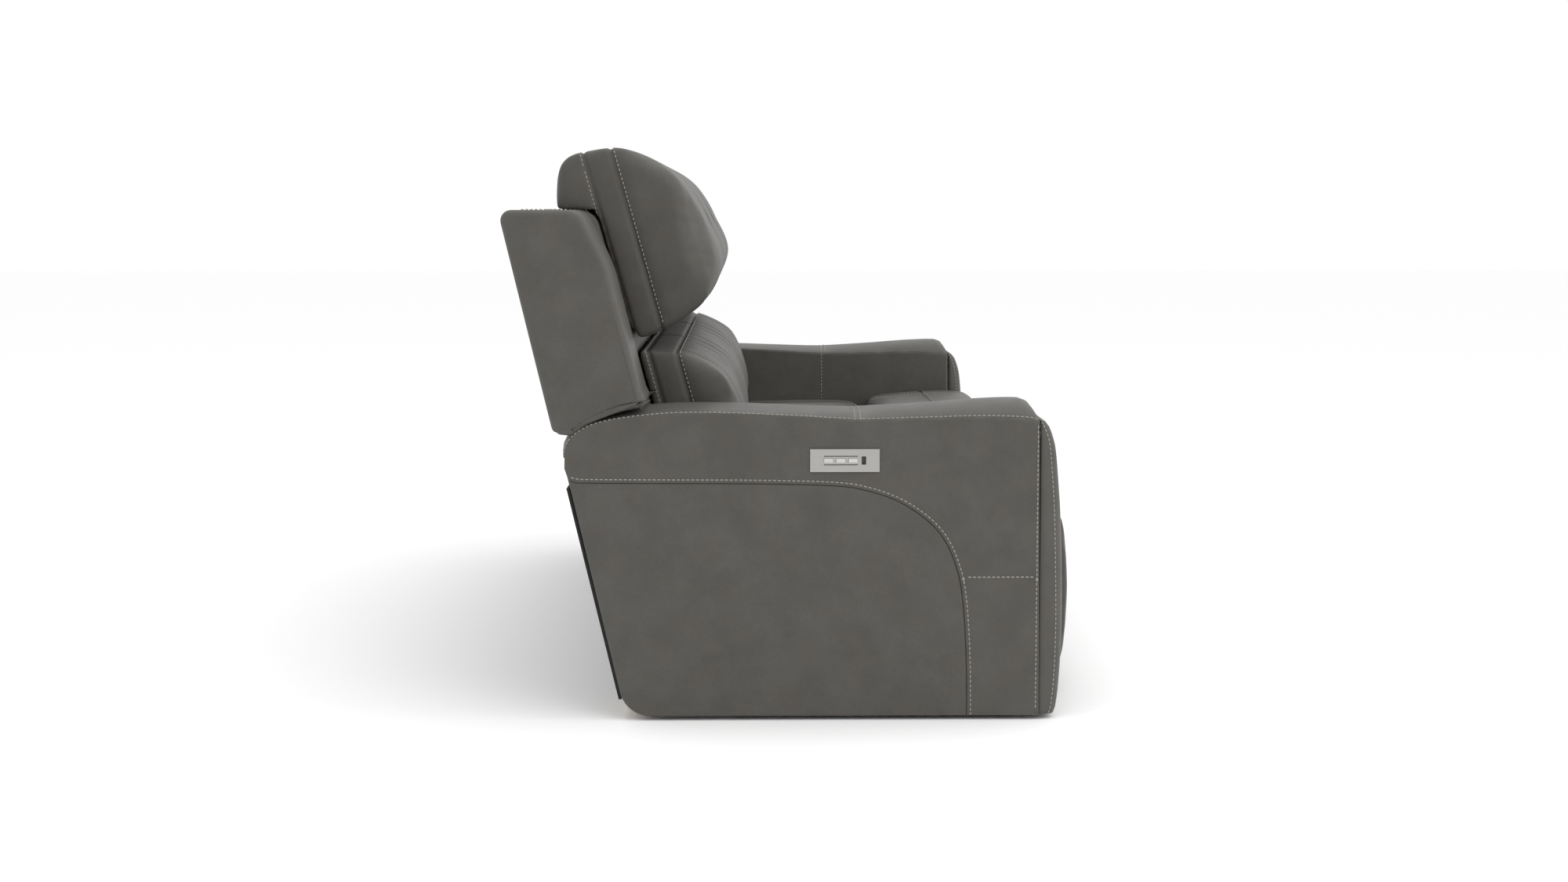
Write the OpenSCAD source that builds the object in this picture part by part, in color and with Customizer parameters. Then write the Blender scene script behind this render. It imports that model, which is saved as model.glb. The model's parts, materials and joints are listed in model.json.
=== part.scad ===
// Three-seat power reclining sofa in leather. The two end seats recline, the middle one is fixed.
// Millimetres, +Z up, the front faces -Y. The origin is the middle of the footprint, on the floor.
// Everything is drawn for the sitter's right side (-X); the left side is its mirror image.

/* [Overall] */
// Width over both arms
sofa_w = 2180; // [1800:10:2700]
// Depth from the upper rear edge to the faces of the footrests
sofa_d = 1100; // [900:10:1350]
// Height of the top of the back, without the headrests
back_h = 961; // [850:1:1160]
// Height of the arm at the wing of the back
arm_h = 586; // [480:1:640]

/* [Seats] */
// Height of the top of a seat cushion
seat_h = 447; // [420:1:500]
// Thickness of a seat cushion
cushion_t = 108; // [80:1:120]
// Height of the chaise pad in front of the cushion
chaise_h = 474; // [450:1:520]
// Front-to-back length of the chaise pad
chaise_l = 302; // [280:1:330]
// Depth of the chaise pad's front nose
nose_t = 89; // [60:1:100]
// Free space between one cushion and the next
cushion_gap = 3; // [1:0.5:8]

/* [Back] */
// Lean of the rear face, degrees from upright
rear_lean = 13.3; // [8:0.1:16]
// Lean of the face behind the cushions, degrees from upright
front_lean = 15.6; // [10:0.1:18]
// Thickness of the back at its top, front to back
back_t = 165; // [140:1:200]
// Thickness of the lumbar cushion
lumbar_t = 167; // [120:1:180]
// Height of the underside of the lumbar cushion above the seat
lumbar_rise = 18; // [12:1:40]
// Thickness of the headrest pillow
pillow_t = 183; // [130:1:200]
// Length of the headrest pillow along the back
pillow_l = 383; // [300:1:400]
// Height of the headrest pillow above the top of the back
pillow_rise = 124; // [100:1:140]
// Wall of the back cover
cover_t = 15; // [8:1:20]

/* [Recline hinge] */
// Height of the recline pivot
pivot_h = 350; // [330:1:370]
// Distance of the recline pivot in front of the rear face
pivot_in = 147; // [130:1:160]
// Gap between the top of the arm and the wing above it
wing_gap = 8; // [4:0.5:14]

/* [Arms] */
// Width of one arm
arm_w = 229; // [190:1:280]
// Thickness of the leather and foam on the outside of an arm
panel_t = 18; // [10:1:25]
// Thickness of the boards of an arm's frame
arm_board = 15; // [12:1:20]
// Thickness of the top cover of an arm
arm_top_t = 34; // [25:1:45]
// Extra height of the front half of the arm's top
arm_swell = 15; // [0:1:30]
// Length of the arm's fuller front half
arm_swell_l = 325; // [250:1:380]
// Thickness of the pad on the front of an arm
front_pad_t = 38; // [25:1:50]
// Distance from the front pad back to the footrest's face
arm_set_back = 53; // [40:1:80]
// Height of the seam between band and lower side panel
band_h = 455; // [380:1:480]
// Width of the upright part of the band
band_w = 175; // [140:1:220]
// Radius of the corner where the band turns down
band_r = 240; // [150:1:260]
// Recess of the lower side panel behind the band
band_step = 3; // [1:0.5:5]
// Height of the seam across the upright part of the band
band_joint_h = 270; // [200:1:320]

/* [Controls] */
// Length of the metal control plate
plate_l = 130; // [120:1:160]
// Height of the control plate
plate_h = 43; // [38:1:60]
// Thickness of the control plate
plate_t = 3; // [2:0.5:4]
// Distance of the plate's middle behind the front of the arm
plate_back = 369; // [320:1:420]
// Distance of the plate's middle below the arm height
plate_down = 91; // [80:1:110]
// Length of one button
button_l = 17; // [12:1:18]
// Height of one button
button_h = 8; // [6:1:10]
// Travel of one button
button_travel = 1.5; // [1:0.1:3]
// Gap around a button
button_gap = 0.4; // [0.3:0.1:0.8]

/* [Footrest] */
// Thickness of the footrest pad
foot_pad_t = 80; // [60:1:90]
// Height of the footrest pad's lower edge
foot_low = 50; // [40:1:80]
// Gap between the footrest pad and the chaise nose above it
foot_gap = 10; // [6:1:20]
// Thickness of the board behind the footrest pad
board_t = 15; // [12:1:20]
// Length of a lower link between its pivots
lower_link_l = 170; // [150:1:190]
// Lean of a folded lower link, degrees behind straight down
lower_link_lean = 10; // [5:1:15]
// Height of the footrest's drive pivot
drive_h = 290; // [280:1:300]
// Distance of the drive pivot behind the face of the footrest
drive_in = 190; // [180:1:200]
// Distance of the footrest bracket's pivot behind the face of the footrest
bracket_in = 125; // [120:1:135]
// Height of the footrest bracket's pivot
bracket_h = 276; // [260:1:290]

/* [Steelwork] */
// Thickness of a mechanism plate
plate_steel = 5; // [4:0.5:6]
// Thickness of a link
link_t = 6; // [5:0.5:7]
// Width of a link
link_w = 24; // [20:1:30]
// Free space between neighbouring links
link_gap = 2; // [1.5:0.5:3]
// Width of an upright of the back frame
stile_w = 40; // [30:1:44]
// Radius of the pivot bolts
bolt_r = 6; // [5:0.5:7]
// Radial clearance of a turning bolt in its hole
run_fit = 0.05; // [0.02:0.01:0.1]
// Radius of the cross tubes
tube_r = 12; // [11:0.5:14]
// Free space between a mechanism plate and the arm beside it
plate_side = 15; // [14:1:20]
// Radius of an actuator's tube
motor_r = 24; // [20:1:28]
// Radius of an actuator's rod
rod_r = 9; // [7:0.5:10]
// Length of the cranks that the rods act on
crank_l = 100; // [90:1:110]

/* [Base] */
// Free height under the panels
floor_gap = 8; // [6:1:20]
// Height of the lower edge of the two rails
rail_low = 40; // [30:1:50]
// Height of a rail
rail_h = 60; // [40:1:60]
// Thickness of a rail and of the boards between the seats
rail_t = 30; // [18:1:36]
// Thickness of the boards between the seats
board_between = 16; // [12:1:20]
// Radius of a floor glide
glide_r = 22; // [18:1:28]

/* [Hidden] */
$fn = 48;

LEATHER = [0.36, 0.35, 0.33];
DARK_LEATHER = [0.2, 0.19, 0.18];
STEEL = [0.45, 0.46, 0.48];
BRUSHED = [0.68, 0.67, 0.65];
PLYWOOD = [0.74, 0.6, 0.42];
PLASTIC = [0.08, 0.08, 0.09];

ROUND_STEPS = 6;      // straight pieces in one rounded corner
PAST = 1;             // how far a cutter runs past a face
END_BOSS = 1;         // how far a link's round ends stand out past its straight sides
SEAM = 0.2;           // overlap of two pieces of one solid

// Main planes, front to back.
front_y = -sofa_d / 2;
rear_y = sofa_d / 2;
pad_face_y = front_y + arm_set_back;
arm_front_y = pad_face_y + front_pad_t;
back_top_r = 16;

// Side to side. A seat is drawn about its own middle plane.
seat_pitch = (sofa_w - 2 * arm_w) / 3;
arm_out_x = -sofa_w / 2;
arm_in_x = arm_out_x + arm_w;
seat_x = -seat_pitch;
half_seat = seat_pitch / 2;
pad_half = half_seat - cushion_gap;
plate_x = half_seat - plate_side;
link_x = plate_x - plate_steel - link_gap;
upper_link_x = link_x - link_t - link_gap;
bracket_x = upper_link_x - link_t - link_gap;

// The rounded top corner of the back just reaches the rear limit of the depth.
rear_top_y = rear_y + back_top_r * (tan(rear_lean) + 1 / cos(rear_lean) - 1);
function rear_plane(z) = rear_top_y - (back_h - z) * tan(rear_lean);
front_plane_0 = rear_plane(back_h) - back_t - back_h * tan(front_lean);
function front_plane(z) = front_plane_0 + z * tan(front_lean);

// Recline pivot and the two arcs round it.
pivot = [rear_plane(pivot_h) - pivot_in, pivot_h];
arm_arc_r = arm_h - pivot_h;
wing_arc_r = arm_arc_r + wing_gap;
wing_rear_z = arm_h - 38;
arm_rear_gap = 6;
rear_panel_top = pivot_h + 92;
lay_gap = 0.4;

// A point given along the slope of the back (up) and forward of its front plane (out).
function on_back(out, up) = [
  front_plane_0 + up * sin(front_lean) - out * cos(front_lean),
  up * cos(front_lean) + out * sin(front_lean)
];

pillow_top_up = (back_h + pillow_rise) / cos(front_lean) - pillow_t * 0.4 * tan(front_lean);
pillow_low_up = pillow_top_up - pillow_l;
lumbar_low_up = (seat_h + lumbar_rise) / cos(front_lean);
lumbar_top_up = pillow_low_up - cushion_gap;
head_pivot_out = -10;
head_pivot_up = pillow_low_up + 25;
pillow_fall = 14;
lumbar_l = lumbar_top_up - lumbar_low_up;
lumbar_fall = lumbar_l * 0.135;
lumbar_brow = lumbar_l * 0.42;
lumbar_rear_r = lumbar_l * 0.05;
lumbar_edge_r = lumbar_l * 0.125;
lumbar_brow_r = lumbar_l * 0.25;
lumbar_crest_out = lumbar_t * 0.55;
head_pin_r = 5;
head_knuckle_r = 9;
head_knuckle_w = 120;
head_plate_l = 200;
lug_t = 5;

// Footrest linkage, folded.
drive = [front_y + drive_in, drive_h];
elbow = drive + lower_link_l * [sin(lower_link_lean), -cos(lower_link_lean)];
bracket = [front_y + bracket_in, bracket_h];
nose_low = chaise_h - nose_t;
foot_top = nose_low - foot_gap;
board_y = front_y + foot_pad_t;
chaise_front_y = front_y + 20;
chaise_rear_y = chaise_front_y + chaise_l;
cushion_front_y = chaise_rear_y + 12;
deck_z = seat_h - cushion_t;
cushion_rear_y = pivot.x - 50;

// Rails and boards.
front_rail_y = drive.x + 80;
rear_rail_y = pivot.x + 10;
rail_top = rail_low + rail_h;
deck_t = 15;
deck_low = deck_z - deck_t;
supply_size = [180, 60, 40];
flange_w = 30;
screw_in = 18;
screw_r = 4;
tie_y = (drive.x + pivot.x) / 2;
tie_z = rail_top + 32;

// Actuators: each pushes along Y at the height of its crank's tip.
recline_motor_x = -70;
footrest_motor_x = 70;
crank_t = 8;
crank_w = 30;
drive_tube_r = tube_r - 2;
crank_root = pivot + [0, 60];
recline_crank = [pivot.x, pivot_h - crank_l];
footrest_crank = drive + crank_l * [sin(35), -cos(35)];
rod_eye_r = 14;
rod_side = crank_t / 2 + link_gap + rod_r;
gearbox = [60, 50, 56];
saddle = [20, 28];
recline_rod_end = tie_y + 60;
footrest_rod_end = tie_y + 10;

// Controls.
plate_y = arm_front_y + plate_back;
plate_z = arm_h - plate_down;
button_pitch = 23;
button_first = -15.5;
button_proud = 1.6;
socket_w = 8;
socket_h = 15;
socket_off = -35.5;
socket_depth = 18;
slot_w = 4.6;
slot_h = 12.4;
groove_off = 8;
groove_l = 64;
groove_w = 1.6;

// ---- small helpers ----

function unit(v) = v / norm(v);

function corner_arc(before, at, after, r) =
  let (
    a = unit(before - at),
    b = unit(after - at),
    half = acos(a * b) / 2,
    middle = at + unit(a + b) * r / sin(half),
    from = at + a * r / tan(half) - middle,
    to = at + b * r / tan(half) - middle,
    start = atan2(from.y, from.x),
    turn = atan2(from.x * to.y - from.y * to.x, from * to)
  )
  [for (i = [0:ROUND_STEPS])
    let (angle = start + turn * i / ROUND_STEPS)
    middle + r * [cos(angle), sin(angle)]];

// A closed outline from corners [y, z, radius].
function rounded(corners) =
  let (n = len(corners))
  [for (i = [0:n - 1])
    let (
      before = corners[(i + n - 1) % n],
      at = corners[i],
      after = corners[(i + 1) % n]
    )
    each at[2] > 0
      ? corner_arc([before.x, before.y], [at.x, at.y], [after.x, after.y], at[2])
      : [[at.x, at.y]]];

// Corners given on the slope of the back, [out, up, radius], turned into [y, z, radius].
function sloped(corners) = [for (c = corners) let (p = on_back(c.x, c.y)) [p.x, p.y, c[2]]];

// Draws a side outline (y, z) between two planes of x.
module span(x0, x1) {
  translate([x0, 0, 0])
    rotate([90, 0, 90])
      linear_extrude(x1 - x0)
        children();
}

// A round bar along X about a point [y, z].
module bar_x(at, x0, x1, r) {
  translate([x0, at.x, at.y])
    rotate([0, 90, 0])
      cylinder(h = x1 - x0, r = r);
}

// Repeats a piece on both sides of the end seat's middle plane.
module both_sides() {
  translate([seat_x, 0, 0]) {
    children();
    mirror([1, 0, 0])
      children();
  }
}

// A round bar along Y at a height z.
module bar_y(x, z, y0, y1, r) {
  translate([x, y0, z])
    rotate([-90, 0, 0])
      cylinder(h = y1 - y0, r = r);
}

// Leaves its child as it is, or mirrors it to the other half of the sofa.
module flip(other) {
  if (other == 1)
    mirror([1, 0, 0])
      children();
  else
    children();
}

// The outline of a flat link between two pivots, with a bore at each end.
module link_outline(a, b, w, bore_a, bore_b) {
  run = b - a;
  difference() {
    union() {
      translate(a)
        circle(r = w / 2);
      translate(b)
        circle(r = w / 2);
      translate(a)
        rotate(atan2(run.y, run.x))
          translate([0, -w / 2 + END_BOSS])
            square([norm(run), w - 2 * END_BOSS]);
    }
    if (bore_a > 0)
      translate(a)
        circle(r = bore_a);
    if (bore_b > 0)
      translate(b)
        circle(r = bore_b);
  }
}

// A flat link drawn from `x` to `x + t`.
module link(a, b, x, t, w, bore_a, bore_b) {
  span(x, x + t)
    link_outline(a, b, w, bore_a, bore_b);
}

// ---- side outlines ----

module arm_outline(inset, top) {
  low = floor_gap + inset;
  rear_in = arm_rear_gap + inset;
  intersection() {
    polygon(rounded([
      [arm_front_y + inset, low, 0],
      [rear_plane(low) - rear_in, low, 60],
      [rear_plane(top) - rear_in, top, 0],
      [arm_front_y + inset, top, 0]
    ]));
    union() {
      translate([front_y, 0])
        square([pivot.x - front_y, top + PAST]);
      translate([front_y, 0])
        square([sofa_d, pivot_h]);
      translate(pivot)
        circle(r = top - pivot_h, $fn = 96);
    }
  }
}

module back_outline(low) {
  difference() {
    polygon(rounded([
      [rear_plane(low), low, 0],
      [rear_plane(back_h), back_h, back_top_r],
      [front_plane(back_h), back_h, 40],
      [front_plane(low), low, 0]
    ]));
    translate(pivot)
      circle(r = wing_arc_r, $fn = 96);
  }
}

module lower_panel_outline() {
  intersection() {
    arm_outline(0, arm_h - arm_top_t);
    polygon(rounded([
      [arm_front_y + band_w - front_pad_t, 0, 0],
      [rear_y, 0, 0],
      [rear_y, band_h, 0],
      [arm_front_y + band_w - front_pad_t, band_h, band_r]
    ]));
  }
}

// ---- arms ----

// A plywood box, open underneath.
module arm_frame() {
  color(PLYWOOD)
    difference() {
      span(arm_out_x + panel_t, arm_in_x - panel_t)
        arm_outline(0, arm_h - arm_top_t);
      span(arm_out_x + panel_t + arm_board, arm_in_x - panel_t - arm_board)
        arm_outline(arm_board, arm_h - arm_top_t - arm_board);
      translate([arm_out_x + panel_t + arm_board, arm_front_y + 60, 0])
        cube([arm_w - 2 * panel_t - 2 * arm_board, 500, floor_gap + 2 * arm_board]);
      control_pocket(arm_out_x + panel_t + 12);
    }
}

module side_panel() {
  color(LEATHER)
    span(arm_out_x + band_step, arm_out_x + panel_t)
      lower_panel_outline();
}

module arm_band() {
  color(LEATHER)
    difference() {
      span(arm_out_x, arm_out_x + panel_t)
        difference() {
          arm_outline(0, arm_h - arm_top_t);
          lower_panel_outline();
        }
      control_pocket(arm_out_x + panel_t + PAST);
    }
}

// Everything under the top cover of an arm: the flat part and the round rear corner.
module under_arm_top(low) {
  translate([front_y, -PAST])
    square([pivot.x - front_y, low + PAST]);
  translate([front_y, -PAST])
    square([sofa_d, pivot_h + PAST]);
  translate(pivot)
    circle(r = low - pivot_h, $fn = 96);
}

// Top cover: a crowned pad over the arm, fuller at the front, and a skirt down the inner side.
module arm_top() {
  low = arm_h - arm_top_t;
  nose_y = pad_face_y + 12;
  nose_drop = 14;
  sink = 4;
  swell_fade = 90;
  side_in = 8;
  color(LEATHER)
    union() {
      span(arm_out_x, arm_in_x)
        difference() {
          arm_outline(0, arm_h);
          under_arm_top(low);
        }
      span(arm_in_x - panel_t, arm_in_x)
        arm_outline(0, low + SEAM);
      span(arm_out_x + side_in, arm_in_x - side_in)
        polygon(rounded([
          [nose_y, arm_h - nose_drop, nose_drop / 2],
          [arm_front_y + PAST, arm_h - nose_drop, 0],
          [arm_front_y + PAST, arm_h - sink, 0],
          [arm_front_y + arm_swell_l, arm_h - sink, 0],
          [arm_front_y + arm_swell_l - swell_fade, arm_h + arm_swell, 60],
          [nose_y, arm_h + arm_swell, nose_drop]
        ]));
    }
}

module arm_front_pad() {
  color(LEATHER)
    span(arm_out_x + 6, arm_in_x - 6)
      polygon(rounded([
        [arm_front_y, floor_gap, 0],
        [arm_front_y, arm_h - 15, 0],
        [pad_face_y + 12, arm_h - 15, 14],
        [pad_face_y, arm_h - 75, 40],
        [pad_face_y, floor_gap, 10]
      ]));
}

// ---- controls on the arm's outer face ----

module button_outline(grow) {
  square([button_l + 2 * grow, button_h + 2 * grow], center = true);
}

module on_plate(x0, x1) {
  translate([0, plate_y, plate_z])
    span(x0, x1)
      children();
}

module control_pocket(depth_x) {
  on_plate(arm_out_x - PAST, depth_x)
    square([plate_l - 16, plate_h - 12], center = true);
}

module control_plate() {
  face_x = arm_out_x - plate_t;
  color(BRUSHED)
    difference() {
      on_plate(face_x, arm_out_x)
        square([plate_l, plate_h], center = true);
      for (i = [0:2])
        on_plate(face_x - PAST, arm_out_x + PAST)
          translate([button_first + i * button_pitch, 0])
            button_outline(button_gap);
      on_plate(face_x - PAST, arm_out_x + PAST)
        translate([socket_off, 0])
          square([socket_w + 0.4, socket_h + 0.4], center = true);
      for (side = [-1, 1])
        on_plate(face_x - PAST, face_x + 1)
          translate([button_first + button_pitch, side * groove_off])
            square([groove_l, groove_w], center = true);
    }
}

module button(index) {
  y = button_first + index * button_pitch;
  color(BRUSHED)
    union() {
      on_plate(arm_out_x - plate_t - button_proud, arm_out_x + 2)
        translate([y, 0])
          button_outline(0);
      on_plate(arm_out_x + 2, arm_out_x + 4)
        translate([y, 0])
          button_outline(1);
    }
}

module usb_socket() {
  color(PLASTIC)
    difference() {
      on_plate(arm_out_x - plate_t, arm_out_x + socket_depth)
        translate([socket_off, 0])
          square([socket_w, socket_h], center = true);
      on_plate(arm_out_x - plate_t - PAST, arm_out_x + socket_depth - 4)
        translate([socket_off, 0])
          square([slot_w, slot_h], center = true);
    }
}

// ---- seats ----

module cushion_shape(half) {
  span(-half, half)
    polygon(rounded([
      [cushion_front_y, deck_z, 8],
      [cushion_rear_y, deck_z, 8],
      [cushion_rear_y, seat_h - 8, 24],
      [cushion_front_y, seat_h, 30]
    ]));
}

module seat_cushion() {
  color(LEATHER)
    translate([seat_x, 0, 0])
      cushion_shape(pad_half);
}

module chaise_shape(half, low) {
  span(-half, half)
    polygon(rounded([
      [chaise_front_y, low, low < nose_low ? 12 : 20],
      [board_y + 2, low, low < nose_low ? 4 : 10],
      [board_y + 2, deck_z, 0],
      [chaise_rear_y, deck_z, 8],
      [chaise_rear_y, chaise_h - 16, 24],
      [(chaise_rear_y + chaise_front_y) / 2, chaise_h, 60],
      [chaise_front_y, chaise_h, 50]
    ]));
}

module chaise_pad() {
  color(LEATHER)
    translate([seat_x, 0, 0])
      chaise_shape(pad_half, nose_low);
}

module middle_seat_cushion() {
  color(LEATHER)
    cushion_shape(pad_half);
}

module middle_chaise_pad() {
  color(LEATHER)
    chaise_shape(pad_half, foot_low);
}

// ---- backs ----

// The faces where pillow and lumbar meet fall apart towards the front, so that the pillow can tilt.
lumbar_corners = [
  [lay_gap, lumbar_low_up, lumbar_rear_r],
  [lay_gap, lumbar_top_up, lumbar_rear_r],
  [lumbar_crest_out, lumbar_top_up - lumbar_fall, lumbar_edge_r],
  [lumbar_t, lumbar_top_up - lumbar_brow, lumbar_brow_r],
  [lumbar_t, lumbar_low_up - lumbar_t * tan(front_lean), lumbar_edge_r]
];

pillow_heel = 14;
pillow_heel_up = 32;
pillow_toe_up = 5;
pillow_chin = 40;
pillow_brow = 85;
cap_out = 40;
cap_rise = 13;
cap_l = 76;

pillow_corners = [
  [lay_gap, pillow_low_up + pillow_heel_up, 0],
  [pillow_heel, pillow_low_up + pillow_toe_up, 6],
  [pillow_t * 0.5, pillow_low_up + pillow_fall, 30],
  [pillow_t, pillow_low_up + pillow_chin, 70],
  [pillow_t, pillow_top_up - pillow_brow, 90],
  [pillow_t * 0.45, pillow_top_up, 40],
  [-cap_out, pillow_top_up + cap_rise, 45]
];
cap_low_z = back_h + 4;

module headrest_shape(half) {
  span(-half, half)
    polygon(rounded(concat(
      sloped(pillow_corners),
      [
        [front_plane(cap_low_z) + cap_l, cap_low_z, 12],
        [front_plane(cap_low_z) - lay_gap, cap_low_z, 0]
      ]
    )));
}

module lumbar_cushion() {
  color(LEATHER)
    translate([seat_x, 0, 0])
      span(-pad_half, pad_half)
        polygon(rounded(sloped(lumbar_corners)));
}

module headrest_pillow() {
  color(LEATHER)
    translate([seat_x, 0, 0])
      headrest_shape(pad_half);
}

module middle_lumbar() {
  color(LEATHER)
    span(-pad_half, pad_half)
      polygon(rounded(sloped(lumbar_corners)));
}

module middle_headrest() {
  color(LEATHER)
    headrest_shape(pad_half);
}

// Room for the back frame inside a back cover.
module pocket_outline() {
  top = back_h - cover_t;
  low = pivot_h;
  polygon([
    [rear_plane(low) - cover_t, low],
    [rear_plane(top) - cover_t, top],
    [front_plane(top) - 20, top],
    [front_plane(low) - 20, low]
  ]);
}

module back_cover() {
  inner = seat_x + pad_half;
  color(LEATHER)
    difference() {
      union() {
        span(arm_out_x, inner)
          difference() {
            back_outline(pivot_h);
            translate([front_y, 0])
              square([sofa_d, wing_rear_z]);
          }
        span(arm_in_x + cushion_gap, inner)
          back_outline(pivot_h);
      }
      span(arm_in_x + cushion_gap + cover_t - 3, inner - cover_t + 3)
        pocket_outline();
    }
}

module middle_back() {
  color(LEATHER)
    span(-pad_half, pad_half)
      polygon(rounded([
        [rear_plane(deck_z) - arm_rear_gap, deck_z, 0],
        [rear_plane(rear_panel_top) - arm_rear_gap, rear_panel_top, 0],
        [rear_plane(rear_panel_top), rear_panel_top, 0],
        [rear_plane(back_h), back_h, back_top_r],
        [front_plane(back_h), back_h, 40],
        [front_plane(deck_z), deck_z, 0]
      ]));
}

// Seat-back skeleton: two stiles on the recline pivot, slats, a crank and the headrest's hinge lugs.
module back_frame() {
  head_pivot = on_back(head_pivot_out, head_pivot_up);
  slat_half = link_x - link_t;
  lug_x = head_knuckle_w / 2 + 3;
  color(STEEL)
    union() {
      both_sides()
        stile(back_h / cos(front_lean) - 70);
      translate([seat_x, 0, 0]) {
        for (up = [lumbar_low_up + 20, lumbar_top_up - 70])
          slat(slat_half, -60, -2, up);
        for (up = [head_pivot_up + 50, back_h / cos(front_lean) - 90])
          slat(slat_half, -60, -24, up);
        for (side = [-1, 1]) {
          lug_at = side > 0 ? lug_x : -lug_x - lug_t;
          link(head_pivot, on_back(-38, head_pivot_up + 55), lug_at, lug_t, 2 * head_knuckle_r - 1, 0, 0);
        }
        bar_x(head_pivot, -lug_x - lug_t, lug_x + lug_t, head_pin_r);
        bar_x(crank_root, -slat_half - 1, slat_half + 1, tube_r);
        link(
          recline_crank, crank_root, recline_motor_x - crank_t / 2, crank_t, crank_w,
          bolt_r + run_fit, 0
        );
      }
    }
}

// One upright of the back: a flat bar from the recline pivot up to a point along the slope.
module stile(top_up) {
  run = on_back(-52, top_up) - pivot;
  span(link_x - link_t, link_x)
    difference() {
      union() {
        translate(pivot)
          circle(r = stile_w / 2);
        translate(pivot)
          rotate(atan2(run.y, run.x))
            translate([0, -stile_w / 2 + END_BOSS])
              square([norm(run), stile_w - 2 * END_BOSS]);
      }
      translate(pivot)
        circle(r = bolt_r + run_fit);
    }
}

// A cross bar between the stiles, from `out0` to `out1` off the front plane.
module slat(half, out0, out1, up) {
  slat_h = 30;
  span(-half - 1, half + 1)
    polygon([
      on_back(out0, up),
      on_back(out0, up + slat_h),
      on_back(out1, up + slat_h),
      on_back(out1, up)
    ]);
}

module headrest_bracket() {
  head_pivot = on_back(head_pivot_out, head_pivot_up);
  color(STEEL)
    translate([seat_x, 0, 0])
      difference() {
        union() {
          bar_x(head_pivot, -head_knuckle_w / 2, head_knuckle_w / 2, head_knuckle_r);
          span(-head_knuckle_w / 2, head_knuckle_w / 2)
            polygon([
              on_back(-6, head_pivot_up),
              on_back(-6, head_pivot_up + head_plate_l),
              on_back(0, head_pivot_up + head_plate_l),
              on_back(0, head_pivot_up)
            ]);
        }
        bar_x(head_pivot, -head_knuckle_w, head_knuckle_w, head_pin_r + run_fit);
      }
}

// ---- base ----

module rail(y) {
  translate([arm_in_x, y, rail_low])
    cube([-2 * arm_in_x, rail_t, rail_h]);
}

// Rails, boards between the seats, tie tubes for the actuators and the webs under the cushions.
module base_frame() {
  board_front = board_y + 20;
  color(PLYWOOD)
    union() {
      rail(front_rail_y);
      rail(rear_rail_y);
      for (side = [-1, 1])
        translate([side * half_seat - board_between / 2, board_front, floor_gap])
          cube([board_between, rear_rail_y + rail_t - board_front, deck_low - floor_gap]);
      for (seat = [-1:1])
        translate([seat * seat_pitch, 0, 0])
          seat_web();
      for (seat = [-1, 1])
        translate([seat * seat_pitch, 0, 0])
          bar_x([tie_y, tie_z], -half_seat, half_seat, tube_r);
    }
}

// Five slats across the seat bay, resting on its boards.
module seat_web() {
  slats = 5;
  slat_w = 40;
  first = board_y + 25;
  step = (cushion_rear_y - slat_w - first) / (slats - 1);
  for (i = [0:slats - 1])
    translate([-half_seat, first + i * step, deck_low])
      cube([2 * half_seat, slat_w, deck_t]);
}

module floor_glides() {
  color(PLASTIC)
    for (side = [-1, 1]) {
      for (x = [arm_out_x + 60, arm_in_x - 60], y = [arm_front_y + 60, rear_plane(floor_gap) - 120])
        translate([side * x, y, 0])
          cylinder(h = floor_gap, r = glide_r);
      for (y = [board_y + 60, rear_rail_y])
        translate([side * half_seat, y, 0])
          cylinder(h = floor_gap, r = glide_r);
    }
}

module rear_lower_panel() {
  panel_top = rear_panel_top - lay_gap;
  low = rail_low;
  color(DARK_LEATHER)
    span(arm_out_x + 8, -arm_out_x - 8)
      polygon([
        [rear_plane(low) - arm_rear_gap + lay_gap, low],
        [rear_plane(low), low],
        [rear_plane(panel_top), panel_top],
        [rear_plane(panel_top) - arm_rear_gap + lay_gap, panel_top]
      ]);
}

module power_supply() {
  color(PLASTIC)
    translate([-supply_size.x / 2, rear_rail_y - supply_size.y, rail_low])
      cube(supply_size);
}

module mechanism_plates() {
  front = drive.x - 25;
  rear = pivot.x + 30;
  top = pivot_h + 25;
  color(STEEL)
    both_sides()
      difference() {
        union() {
          span(plate_x - plate_steel, plate_x)
            polygon([
              [front, drive_h - 30],
              [front_rail_y, rail_top],
              [rear_rail_y + rail_t, rail_top],
              [rear, pivot_h - 20],
              [rear, top],
              [pivot.x - 25, top],
              [pivot.x - 40, deck_low],
              [drive.x + 20, deck_low],
              [front, drive_h + 20]
            ]);
          translate([plate_x - flange_w, front_rail_y, rail_top])
            cube([flange_w, rear_rail_y + rail_t - front_rail_y, plate_steel]);
        }
        bar_x(pivot, plate_x - 2 * plate_steel, plate_x + PAST, bolt_r + run_fit);
        bar_x(drive, plate_x - 2 * plate_steel, plate_x + PAST, bolt_r + run_fit);
        bar_x([tie_y, tie_z], plate_x - 2 * plate_steel, plate_x + PAST, tube_r);
        for (y = [front_rail_y, rear_rail_y])
          translate([plate_x - screw_in, y + rail_t / 2, rail_top - PAST])
            cylinder(h = 2 * plate_steel, r = screw_r + run_fit);
      }
}

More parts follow.
